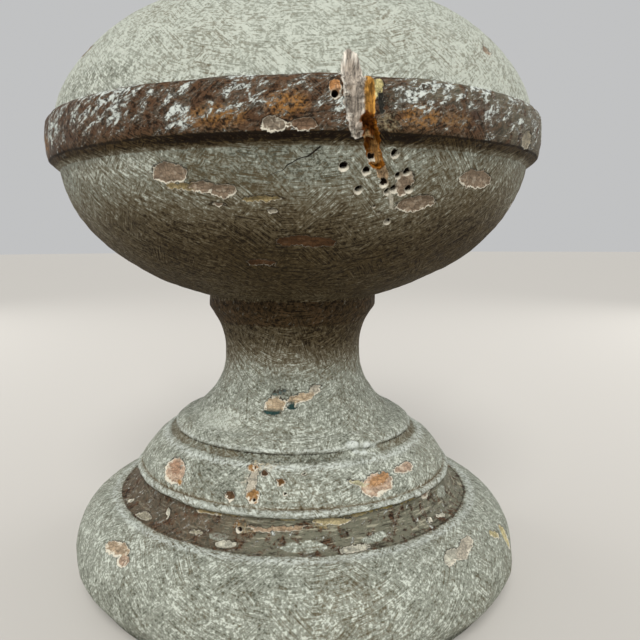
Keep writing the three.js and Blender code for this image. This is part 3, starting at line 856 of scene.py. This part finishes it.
# Distemper paint on wood: chalky zinc grey brushed thickly over darker coats, so it shows fine light
# and dark mottling, crossing stroke lines and rubbed brown. It dried matt, so it shines very little.
# Its colour also carries painted shade, shadow and highlight in the hollows, corners and edges.
ZINC_GREY = "#85887b"
ZINC_PALE = "#c4c8bb"
ZINC_DARK = "#484a3f"
CHALKY_BLOOM = "#a6aa9d"
THIN_GRIME = "#6c5c40"
UMBER = "#5a4b30"
UMBER_DEEP = "#1b1106"
OXIDE_BROWN = "#573f2c"
# OXIDE_DEEP also paints the shadow lines in the corners, round the chips and round the flakes
OXIDE_DEEP = "#1e150c"
OLIVE_COAT = "#6c6c5c"
CHALK = "#cdd2ca"
CHALK_VEIL = "#8b8272"
COVE_STREAK = "#a8a48e"
GROUND_COAT = "#d2cbb8"
OLD_CREAM = "#aa9a6e"
# PIT_BROWN is the near black of the painted shade in the flight holes and under the band, and of the
# crack
PIT_BROWN = "#180e05"
PAINT_IOR = 1.48
MATT_SPECULAR = 0.12
RIDGE_HEIGHT = 0.9
# Cells of noise, in millimetres across, or across, across and up where they are stretched
LUMP_SIZE = 1.5
SPECK_SIZE = 2.8
BLOTCH_SIZE = 5
PATCH_SIZE = 16
BROAD_SIZE = 34
EDGE_SIZE = 1.4
GRIT_SIZE = 0.9
CRAZE_SIZE = 1.7
GRAIN_CELL = (7, 7, 0.8)
FIBRE_CELL = (0.9, 0.9, 9)

paint = bpy.data.materials.new("distemper_paint_on_turned_wood")
paint.use_nodes = True
tree = paint.node_tree
tree.nodes.clear()


def add(kind, settings=None, wires=None, result=0):
    """Adds a shader node: settings fill its properties or sockets, and wires feed its sockets.

    One of its outputs comes back, or the node itself where it has none."""
    node = tree.nodes.new("ShaderNode" + kind)
    for name, value in (settings or {}).items():
        if isinstance(name, str) and hasattr(node, name):
            setattr(node, name, value)
        else:
            node.inputs[name].default_value = value
    for name, source in (wires or {}).items():
        tree.links.new(source, node.inputs[name])
    return node.outputs[result] if node.outputs else node


def per_mm(size):
    """The noise scale, in cells a metre, whose cells are size millimetres across."""
    return 1 / (size * MM)


# Settings that many nodes share
RGBA = {"data_type": "RGBA"}
TIMES = {"operation": "MULTIPLY"}
TIMES_PLUS = {"operation": "MULTIPLY_ADD"}
PLUS = {"operation": "ADD"}
LESS = {"operation": "SUBTRACT"}
SIZE_OF = {"operation": "ABSOLUTE"}
place = add("TexCoord", result=3)
field = {name: add("Attribute", {"attribute_name": name}, result=2) for name in FIELDS}
loss_tint = add("Attribute", {"attribute_name": "loss_colour"})
rim_width = add("Attribute", {"attribute_name": "loss_colour"}, result=3)
wound_tint = add("Attribute", {"attribute_name": "wound_colour"})
stain_tint = add("Attribute", {"attribute_name": "stain_colour"})
stain_strength = add("Attribute", {"attribute_name": "stain_colour"}, result=3)

# Crust: lumps of grit a millimetre or two across, under brush strokes that change heading in patches
lumps = add("TexNoise", {"Scale": per_mm(LUMP_SIZE), "Detail": 5, "Roughness": 0.7, "Distortion": 0.5},
            {"Vector": place})
speck = add("TexNoise", {"Scale": per_mm(SPECK_SIZE), "Detail": 4, "Roughness": 0.65}, {"Vector": place})
blotch = add("TexNoise", {"Scale": per_mm(BLOTCH_SIZE), "Detail": 4, "Roughness": 0.65},
             {"Vector": place})
patch = add("TexNoise", {"Scale": per_mm(PATCH_SIZE), "Detail": 3, "Roughness": 0.6}, {"Vector": place})
broad = add("TexNoise", {"Scale": per_mm(BROAD_SIZE), "Detail": 4, "Roughness": 0.55}, {"Vector": place})
edge_noise = add("TexNoise", {"Scale": per_mm(EDGE_SIZE), "Detail": 3}, {"Vector": place})
grit = add("TexNoise", {"Scale": per_mm(GRIT_SIZE), "Detail": 2, "Roughness": 0.6}, {"Vector": place})
chip_place = add("Attribute", {"attribute_name": "slanted_chips"}, result=1)
chip_noise = add("TexNoise", {"Scale": 1, "Detail": 6, "Roughness": 0.8, "Distortion": 0.3},
                 {"Vector": chip_place})
grain_stretch = add("Mapping", {"Scale": [per_mm(size) for size in GRAIN_CELL]}, {"Vector": place})
grain = add("TexNoise", {"Scale": 1, "Detail": 4, "Roughness": 0.7}, {"Vector": grain_stretch})
laid = {name: add("Attribute", {"attribute_name": name}, result=1) for name in STROKES}
turns_left = add("MapRange", {"From Min": 0.53, "From Max": 0.57}, {"Value": patch})
turns_right = add("MapRange", {"From Min": 0.45, "From Max": 0.41}, {"Value": patch})
brush = {}
for width, scale in (("bristle", 1), ("sweep", 0.38)):
    stroke = {
        name: add("TexNoise", {"Scale": scale, "Detail": 3, "Roughness": 0.65}, {"Vector": strokes})
        for name, strokes in laid.items()
    }
    laid_left = add("Mix", {}, {0: turns_left, 2: stroke["bowed_strokes"], 3: stroke["left_strokes"]})
    brush[width] = add("Mix", {}, {0: turns_right, 2: laid_left, 3: stroke["right_strokes"]})
bristles = brush["bristle"]
crust = add("Mix", {0: 0.4}, {2: lumps, 3: bristles})

# Grey coat: dark in the pits, pale on the ridges, with thin dark and light lines beside the strokes that
# are painted shade and highlight, and a chalky bloom that evens out the palest parts, which are mostly
# on the dome.
swept = add("Mix", {0: 0.18}, {2: crust, 3: brush["sweep"]})
patchy = add("Mix", {0: 0.2}, {2: swept, 3: blotch})
soft_tone = add("Math", TIMES_PLUS | {1: 0.05}, {0: field["pale"], 2: patchy})
tone = add("Math", TIMES_PLUS | {1: 0.3}, {0: grit, 2: soft_tone})
to_mid = add("MapRange", {"From Min": 0.557, "From Max": 0.628}, {"Value": tone})
to_pale = add("MapRange", {"From Min": 0.67, "From Max": 0.725}, {"Value": tone})
coat = add("Mix", RGBA | {6: linear(ZINC_DARK), 7: linear(ZINC_GREY)}, {0: to_mid}, 2)
coat = add("Mix", RGBA | {7: linear(ZINC_PALE)}, {0: to_pale, 6: coat}, 2)
weave = add("Mix", {0: 0.55}, {2: bristles, 3: speck})
# Lines go (level of the weave, half width, where they are full, strength, colour)
# The stroke lines are painted shade and highlight beside the brush ridges
STROKE_SHADE_AND_HIGHLIGHT_LINES = ((0.45, 0.010, 0.003, 0.45, ZINC_DARK), (0.54, 0.010, 0.003, 0.4, ZINC_PALE))
for level, half_width, full, strength, colour in STROKE_SHADE_AND_HIGHLIGHT_LINES:
    off_level = add("Math", LESS | {1: level}, {0: weave})
    off_line = add("Math", SIZE_OF, {0: off_level})
    painted_light_share = add("MapRange", {"From Min": half_width, "From Max": full, "To Max": strength},
                     {"Value": off_line})
    coat = add("Mix", RGBA | {7: linear(colour)}, {0: painted_light_share, 6: coat}, 2)
bloom_share = add("MapRange", {"From Min": 0.4, "From Max": 0.9, "To Max": 0.35},
                  {"Value": field["pale"]})
coat = add("Mix", RGBA | {7: linear(CHALKY_BLOOM)}, {0: bloom_share, 6: coat}, 2)

# Oxide brown: ragged edges, deep and rusty patches, olive in the cove, and chalk left in chips, each
# ringed with a thin painted shadow
ragged_fine = add("Math", TIMES_PLUS | {1: 1.6, 2: -2.3}, {0: edge_noise})
ragged_edge = add("Math", TIMES_PLUS | {1: 3.0}, {0: blotch, 2: ragged_fine})
brown_sum = add("Math", PLUS, {0: field["brown_edge"], 1: ragged_edge})
brown_share = add("MapRange", {"From Min": 0.2, "From Max": -0.2}, {"Value": brown_sum})
brown_deep = add("MapRange", {"From Min": 0.54, "From Max": 0.45}, {"Value": crust})
brown = add("Mix", RGBA | {6: linear(OXIDE_BROWN), 7: linear(OXIDE_DEEP)}, {0: brown_deep}, 2)
stain_ragged = add("Math", TIMES_PLUS | {1: -14.0, 2: 7.0}, {0: chip_noise})
stain_sum = add("Math", PLUS, {0: field["stain_edge"], 1: stain_ragged})
stain_reach = add("MapRange", {"From Min": 1.2, "From Max": -1.2}, {"Value": stain_sum})
stain_full = add("Math", TIMES, {0: stain_reach, 1: stain_strength})
stain_grain = add("Mix", {0: 0.5}, {2: lumps, 3: grit})
stain_fine = add("MapRange", {"From Min": 0.43, "From Max": 0.58}, {"Value": stain_grain})
stain_share = add("Math", TIMES, {0: stain_full, 1: stain_fine})
brown = add("Mix", RGBA, {0: stain_share, 6: brown, 7: stain_tint}, 2)
coat = add("Mix", RGBA, {0: stain_share, 6: coat, 7: stain_tint}, 2)
olive_left = add("MapRange", {"From Min": 0.41, "From Max": 0.49, "To Max": 0.9}, {"Value": blotch})
olive_share = add("Math", TIMES, {0: field["olive"], 1: olive_left})
brown = add("Mix", RGBA | {7: linear(OLIVE_COAT)}, {0: olive_share, 6: brown}, 2)
# Streaks go (level of the grain, where they are full, strength, colour)
COVE_STREAKS = ((0.44, 0.39, 0.7, OXIDE_DEEP), (0.57, 0.62, 0.7, COVE_STREAK))
for level, full, strength, colour in COVE_STREAKS:
    streak_level = add("MapRange", {"From Min": level, "From Max": full, "To Max": strength},
                       {"Value": grain})
    streak_share = add("Math", TIMES, {0: field["olive"], 1: streak_level})
    brown = add("Mix", RGBA | {7: linear(colour)}, {0: streak_share, 6: brown}, 2)
chalk_bias = add("Math", TIMES_PLUS | {1: 0.1, 2: -0.104}, {0: field["chalk"]})
chalk_level = add("Math", PLUS, {0: chip_noise, 1: chalk_bias})
veil_share = add("MapRange", {"From Min": 0.44, "From Max": 0.52, "To Max": 0.4}, {"Value": chalk_level})
brown = add("Mix", RGBA | {7: linear(CHALK_VEIL)}, {0: veil_share, 6: brown}, 2)
# A thin painted shadow ring round each chip
chip_shadow_ring = add("MapRange", {"From Min": 0.515, "From Max": 0.535, "To Max": 0.6},
                 {"Value": chalk_level})
brown = add("Mix", RGBA | {7: linear(OXIDE_DEEP)}, {0: chip_shadow_ring, 6: brown}, 2)
chip_edge = add("MapRange", {"From Min": 0.53, "From Max": 0.55}, {"Value": chalk_level})
chip_break = add("MapRange", {"From Min": 0.42, "From Max": 0.49}, {"Value": lumps})
chip_share = add("Math", TIMES, {0: chip_edge, 1: chip_break})
brown = add("Mix", RGBA | {7: linear(CHALK)}, {0: chip_share, 6: brown}, 2)
coat = add("Mix", RGBA, {0: brown_share, 6: coat, 7: brown}, 2)

# Grime and painted shade: a thin brown haze in broad stains, then thick umber under the ball, partly
# painted shade, and near-black painted shadow under the band, all brushed out
grime_and_shade_spread = add("Math", TIMES_PLUS | {1: 0.9, 2: -0.42}, {0: broad})
grime_and_shade_sum = add("Math", PLUS, {0: field["grime_and_shade"], 1: grime_and_shade_spread})
brush_mix = add("Mix", {0: 0.2}, {2: bristles, 3: brush["sweep"]})
brushed = add("Mix", {0: 0.55}, {2: lumps, 3: brush_mix})
grime_and_shade_fine = add("Math", TIMES_PLUS | {1: -3.0, 2: 1.5}, {0: brushed})
grime_and_shade_total = add("Math", PLUS, {0: grime_and_shade_sum, 1: grime_and_shade_fine})
not_brown = add("Math", TIMES_PLUS | {1: -0.75, 2: 0.75}, {0: brown_share})
haze_spread = add("MapRange", {"From Min": 0.08, "From Max": 0.6}, {"Value": grime_and_shade_total})
haze_share = add("Math", TIMES, {0: haze_spread, 1: not_brown})
coat = add("Mix", RGBA | {7: linear(THIN_GRIME)}, {0: haze_share, 6: coat}, 2)
umber_light = add("MapRange", {"From Min": 0.44, "From Max": 0.57}, {"Value": brushed})
umber = add("Mix", RGBA | {6: linear(UMBER_DEEP), 7: linear(UMBER)}, {0: umber_light}, 2)
deepest_grime_and_shade = add("MapRange", {"From Min": 1.25, "From Max": 1.6}, {"Value": grime_and_shade_total})
umber = add("Mix", RGBA | {7: linear(PIT_BROWN)}, {0: deepest_grime_and_shade, 6: umber}, 2)
umber_share = add("MapRange", {"From Min": 0.35, "From Max": 1.0, "To Max": 0.95},
                  {"Value": grime_and_shade_total})
coat = add("Mix", RGBA, {0: umber_share, 6: coat, 7: umber}, 2)

# Lines in the corners: thin dark painted shadow, and the ground coat's cream under the bead, both a
# little broken
line_fine = add("Math", TIMES_PLUS | {1: 1.4, 2: -0.7}, {0: edge_noise})
shadow_line_sum = add("Math", PLUS, {0: field["shadow_line_gap"], 1: line_fine})
shadow_line_dark = add("MapRange", {"From Min": 0.2, "From Max": -0.15, "To Max": 0.8}, {"Value": shadow_line_sum})
coat = add("Mix", RGBA | {7: linear(OXIDE_DEEP)}, {0: shadow_line_dark, 6: coat}, 2)
cream_sum = add("Math", PLUS, {0: field["cream_gap"], 1: line_fine})
cream_line = add("MapRange", {"From Min": 0.1, "From Max": -0.2, "To Max": 0.75}, {"Value": cream_sum})

# Worn and lit edges: chalk rubbed pale and painted as highlight on the crests, in broken lines, with the
# cream line laid over them
worn_fine = add("MapRange", {"From Min": 0.43, "From Max": 0.57, "To Max": 0.85}, {"Value": crust})
worn_share = add("Math", TIMES, {0: field["worn"], 1: worn_fine})
coat = add("Mix", RGBA | {7: linear(CHALK)}, {0: worn_share, 6: coat}, 2)
coat = add("Mix", RGBA | {7: linear(OLD_CREAM)}, {0: cream_line, 6: coat}, 2)

# Flaked ovals: crazed wood, a pale rim made broadest below as painted highlight, and a painted shadow
# round the edge, darkest above
loss_fine = add("Math", TIMES_PLUS | {1: 2.4, 2: -2.6}, {0: edge_noise})
loss_ragged = add("Math", TIMES_PLUS | {1: 2.8}, {0: blotch, 2: loss_fine})
loss_sum = add("Math", PLUS, {0: field["loss_edge"], 1: loss_ragged})
shade_reach = add("MapRange", {"From Min": 0.5, "From Max": 0.2}, {"Value": loss_sum})
shade_above = add("MapRange", {"From Min": 0.9, "From Max": -0.3, "To Min": 0.25, "To Max": 0.85},
                  {"Value": field["loss_low"]})
shade_share = add("Math", TIMES, {0: shade_reach, 1: shade_above})
coat = add("Mix", RGBA | {7: linear(OXIDE_DEEP)}, {0: shade_share, 6: coat}, 2)
loss_share = add("MapRange", {"From Min": 0.1, "From Max": -0.1}, {"Value": loss_sum})
rim_low = add("MapRange", {"From Min": -0.6, "From Max": 0.7, "To Min": 0.25, "To Max": 1.0},
              {"Value": field["loss_low"]})
rim_uneven = add("MapRange", {"From Min": 0.4, "From Max": 0.6, "To Min": 0.5, "To Max": 1.7},
                 {"Value": blotch})
rim_local = add("Math", TIMES, {0: rim_low, 1: rim_uneven})
rim_depth = add("Math", TIMES, {0: rim_local, 1: rim_width})
rim_gap = add("Math", PLUS, {0: loss_sum, 1: rim_depth})
rim_share = add("MapRange", {"From Min": -0.08, "From Max": 0.08}, {"Value": rim_gap})
grain_mix = add("Mix", {0: 0.5}, {2: grain, 3: speck})
grain_share = add("MapRange", {"From Min": 0.4, "From Max": 0.6, "To Min": 0.6, "To Max": 1.25},
                  {"Value": grain_mix})
craze = add("TexVoronoi", {"feature": "DISTANCE_TO_EDGE", "Scale": per_mm(CRAZE_SIZE)},
            {"Vector": place})
craze_line = add("MapRange", {"From Min": 0.02, "From Max": 0.1, "To Min": 0.6}, {"Value": craze})
crazed = add("Math", TIMES, {0: grain_share, 1: craze_line})
grained = add("Mix", RGBA | {"blend_type": "MULTIPLY", 0: 1.0}, {6: loss_tint, 7: crazed}, 2)
cream_fine = add("MapRange", {"From Min": 0.56, "From Max": 0.62, "To Max": 0.6}, {"Value": speck})
cream_left = add("Math", TIMES, {0: cream_fine, 1: rim_width})
grained = add("Mix", RGBA | {7: linear(GROUND_COAT)}, {0: cream_left, 6: grained}, 2)
flaked = add("Mix", RGBA | {7: linear(GROUND_COAT)}, {0: rim_share, 6: grained}, 2)
coat = add("Mix", RGBA, {0: loss_share, 6: coat, 7: flaked}, 2)

# Eaten wood: fibres in the colour of each channel, then chipped flight holes, each with a pale lip
# painted broadest below as highlight and a pit darkened as painted shade
wound_ragged = add("Math", TIMES_PLUS | {1: 0.8, 2: -0.4}, {0: edge_noise})
wound_sum = add("Math", PLUS, {0: field["wound_edge"], 1: wound_ragged})
wound_share = add("MapRange", {"From Min": 0.1, "From Max": -0.1}, {"Value": wound_sum})
fibre_stretch = add("Mapping", {"Scale": [per_mm(size) for size in FIBRE_CELL]}, {"Vector": place})
fibres = add("TexNoise", {"Scale": 1, "Detail": 4, "Roughness": 0.65}, {"Vector": fibre_stretch})
fibre_share = add("MapRange", {"From Min": 0.34, "From Max": 0.66, "To Min": 0.25, "To Max": 1.6},
                  {"Value": fibres})
eaten = add("Mix", RGBA | {"blend_type": "MULTIPLY", 0: 1.0}, {6: wound_tint, 7: fibre_share}, 2)
coat = add("Mix", RGBA, {0: wound_share, 6: coat, 7: eaten}, 2)

chip_ragged = add("Math", TIMES_PLUS | {1: 0.9, 2: -0.45}, {0: edge_noise})
hole_sum = add("Math", PLUS, {0: field["hole_level"], 1: chip_ragged})
lip_share = add("MapRange", {"From Min": 1.18, "From Max": 1.0}, {"Value": hole_sum})
lip_low = add("MapRange", {"From Min": -0.7, "From Max": 0.4, "To Min": 0.2, "To Max": 0.95},
              {"Value": field["hole_below"]})
lip_coat_and_highlight = add("Math", TIMES, {0: lip_share, 1: lip_low})
coat = add("Mix", RGBA | {7: linear(GROUND_COAT)}, {0: lip_coat_and_highlight, 6: coat}, 2)
# The pit is painted shade, reaching furthest towards its upper side
pit_shade_level = add("Math", TIMES_PLUS | {1: 0.22}, {0: field["hole_below"], 2: hole_sum})
pit_shade_share = add("MapRange", {"From Min": 0.76, "From Max": 0.62}, {"Value": pit_shade_level})
coat = add("Mix", RGBA | {7: linear(PIT_BROWN)}, {0: pit_shade_share, 6: coat}, 2)

# The crack thins towards its lower end, and the filler is chalk white
crack_gap = add("Math", SIZE_OF, {0: field["crack_side"]})
crack_taper = add("MapRange", {"From Min": 0.0, "From Max": 1.0, "To Min": 0.3, "To Max": 0.05},
                  {"Value": field["crack_share"]})
crack_over = add("Math", LESS, {0: crack_taper, 1: crack_gap})
crack_ink = add("MapRange", {"From Min": -0.08, "From Max": 0.08}, {"Value": crack_over})
crack_half = add("Math", LESS | {1: 0.5}, {0: field["crack_share"]})
crack_reach = add("Math", SIZE_OF, {0: crack_half})
crack_ends = add("MapRange", {"From Min": 0.52, "From Max": 0.48}, {"Value": crack_reach})
crack_mask = add("Math", TIMES, {0: crack_ink, 1: crack_ends})
coat = add("Mix", RGBA | {7: linear(PIT_BROWN)}, {0: crack_mask, 6: coat}, 2)
lump_fine = add("MapRange", {"From Min": 0.3, "From Max": 0.48, "To Max": 0.85}, {"Value": grit})
lump_reach = add("MapRange", {"From Min": 0.2, "From Max": -0.8}, {"Value": field["lump_edge"]})
lump_share = add("Math", TIMES, {0: lump_reach, 1: lump_fine})
coat = add("Mix", RGBA | {7: linear(CHALK)}, {0: lump_share, 6: coat}, 2)

# Relief too fine for the mesh: brush ridges and grit a few tenths of a millimetre high, sunk flakes
chip_height = add("Math", TIMES | {1: 0.25}, {0: chip_share})
chip_relief = add("Math", TIMES_PLUS, {0: chip_height, 1: brown_share, 2: crust})
fine_relief = add("Math", TIMES_PLUS | {1: -0.3}, {0: loss_share, 2: chip_relief})
ridge = add("Bump", {"Strength": 1.0, "Distance": RIDGE_HEIGHT * MM}, {"Height": fine_relief})
rough = add("MapRange", {"From Min": 0.3, "From Max": 0.7, "To Min": 0.65, "To Max": 0.88},
            {"Value": speck})
shader = add("BsdfPrincipled", {"IOR": PAINT_IOR, "Specular IOR Level": MATT_SPECULAR},
             {"Base Color": coat, "Roughness": rough, "Normal": ridge})
add("OutputMaterial", wires={"Surface": shader})
mesh.materials.append(paint)

# The studio: a pale floor, a broad soft light from high in front, two weaker ones from behind at the
# sides, and the camera at the photograph's viewing angle, close to the ball and level with it. The
# camera looks a little to the left of the axis, and the lens is shifted to keep the spire in place.
FLOOR_RADIUS = 8.0
FLOOR_SIDES = 96
FLOOR_GREY = "#bab6af"
FLOOR_ROUGHNESS = 0.9
round_floor = np.linspace(0, math.tau, FLOOR_SIDES, endpoint=False)
floor_points = FLOOR_RADIUS * np.stack([np.cos(round_floor), np.sin(round_floor), 0 * round_floor], 1)
floor_mesh = bpy.data.meshes.new("studio_floor")
floor_mesh.from_pydata(floor_points, [], [list(range(FLOOR_SIDES))])
floor_paint = bpy.data.materials.new("matt_studio_floor")
floor_paint.use_nodes = True
floor_shader = floor_paint.node_tree.nodes["Principled BSDF"]
floor_shader.inputs["Base Color"].default_value = linear(FLOOR_GREY)
floor_shader.inputs["Roughness"].default_value = FLOOR_ROUGHNESS
floor_mesh.materials.append(floor_paint)
floor = bpy.data.objects.new("studio_floor", floor_mesh)
bpy.context.scene.collection.objects.link(floor)

# The key light is a far sun seen broad, so the floor is lit evenly. Its spread is in degrees.
KEY_FROM = Vector((-0.05, -1.0, 0.95))
KEY_STRENGTH = 3.0
KEY_SPREAD = 34.0
key = bpy.data.lights.new("front_key", "SUN")
key.energy = KEY_STRENGTH
key.angle = math.radians(KEY_SPREAD)
key_stand = bpy.data.objects.new("front_key", key)
key_stand.matrix_world = (-KEY_FROM).to_track_quat("-Z", "Y").to_matrix().to_4x4()
bpy.context.scene.collection.objects.link(key_stand)

# Rim lights go name, place, side in metres, watts
RIM_LIGHTS = (("left_rim", (-1.1, 0.6, 0.5), 0.8, 5.0), ("right_rim", (1.1, 0.6, 0.5), 0.8, 5.0))
AIM = Vector((0, 0, 0.15))
for name, spot, side, watts in RIM_LIGHTS:
    lamp = bpy.data.lights.new(name, "AREA")
    lamp.size = side
    lamp.energy = watts
    stand = bpy.data.objects.new(name, lamp)
    facing = (AIM - Vector(spot)).to_track_quat("-Z", "Y").to_matrix().to_4x4()
    stand.matrix_world = Matrix.Translation(spot) @ facing
    bpy.context.scene.collection.objects.link(stand)

# The room: an even pale light from all round
ROOM_WHITE = "#f2f3f4"
ROOM_STRENGTH = 0.6
world = bpy.data.worlds.new("pale_room")
world.use_nodes = True
world.node_tree.nodes["Background"].inputs["Color"].default_value = linear(ROOM_WHITE)
world.node_tree.nodes["Background"].inputs["Strength"].default_value = ROOM_STRENGTH
bpy.context.scene.world = world
bpy.context.scene.view_settings.view_transform = "Standard"

# The camera: its place in metres, and its angles in degrees
CAMERA_PLACE = (0.0, -0.3097, 0.1569)
CAMERA_DOWN = 7.15
CAMERA_LEFT = 0.85
CAMERA_ROLL = -0.3
LENS = 36.0
SENSOR = 36.0
LENS_CENTRE_PIXEL = 282.8
FRAME_PIXELS = 640
lens = bpy.data.cameras.new("photo_camera")
lens.lens = LENS
lens.sensor_width = SENSOR
lens.shift_x = (FRAME_PIXELS / 2 - LENS_CENTRE_PIXEL) / FRAME_PIXELS
camera = bpy.data.objects.new("photo_camera", lens)
look_left = Matrix.Rotation(math.radians(CAMERA_LEFT), 4, "Z")
look_down = Matrix.Rotation(math.radians(90 - CAMERA_DOWN), 4, "X")
lean_over = Matrix.Rotation(math.radians(CAMERA_ROLL), 4, "Z")
camera.matrix_world = Matrix.Translation(CAMERA_PLACE) @ look_left @ look_down @ lean_over
bpy.context.scene.collection.objects.link(camera)
bpy.context.scene.camera = camera
